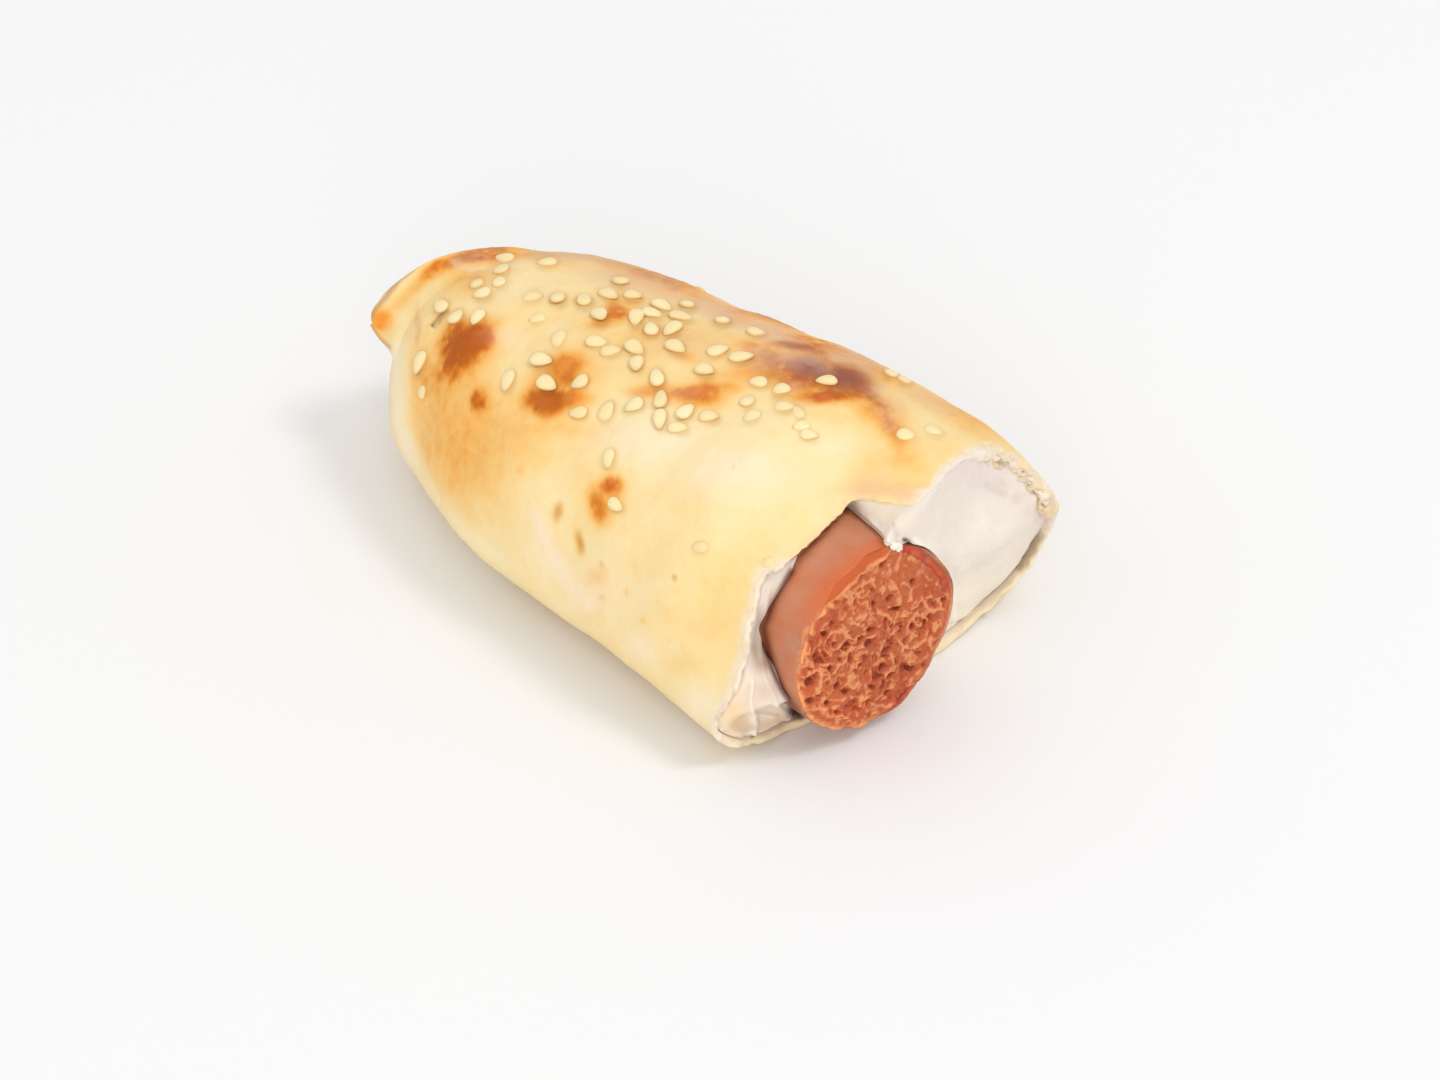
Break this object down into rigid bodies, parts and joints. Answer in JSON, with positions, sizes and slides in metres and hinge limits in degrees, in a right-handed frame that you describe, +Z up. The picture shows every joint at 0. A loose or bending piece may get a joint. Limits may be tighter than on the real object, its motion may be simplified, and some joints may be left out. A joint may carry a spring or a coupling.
{
  "type": "hot dog pie",
  "caption": "Baked hot dog pie torn open: a browned dough wrap with a pinched closed end, a soft white layer inside it and a sausage standing out of the torn end.",
  "frame": {"origin": "middle of the bounding box's underside, where the pie rests", "axes": "+X along the sausage, towards the torn end; +Y towards the wide side of the white layer, away from the side the sausage lies on; +Z up"},
  "size_m": [0.0928, 0.0566, 0.0345],
  "materials": {
    "dough": "matte baked dough, pale gold with browned patches",
    "filling": "soft, matte, off-white",
    "sausage": "satin skin, rough torn face"
  },
  "bodies": {
    "root": {"dough_wrap": "dough", "white_filling": "filling", "sausage": "sausage"}
  },
  "joints": []
}
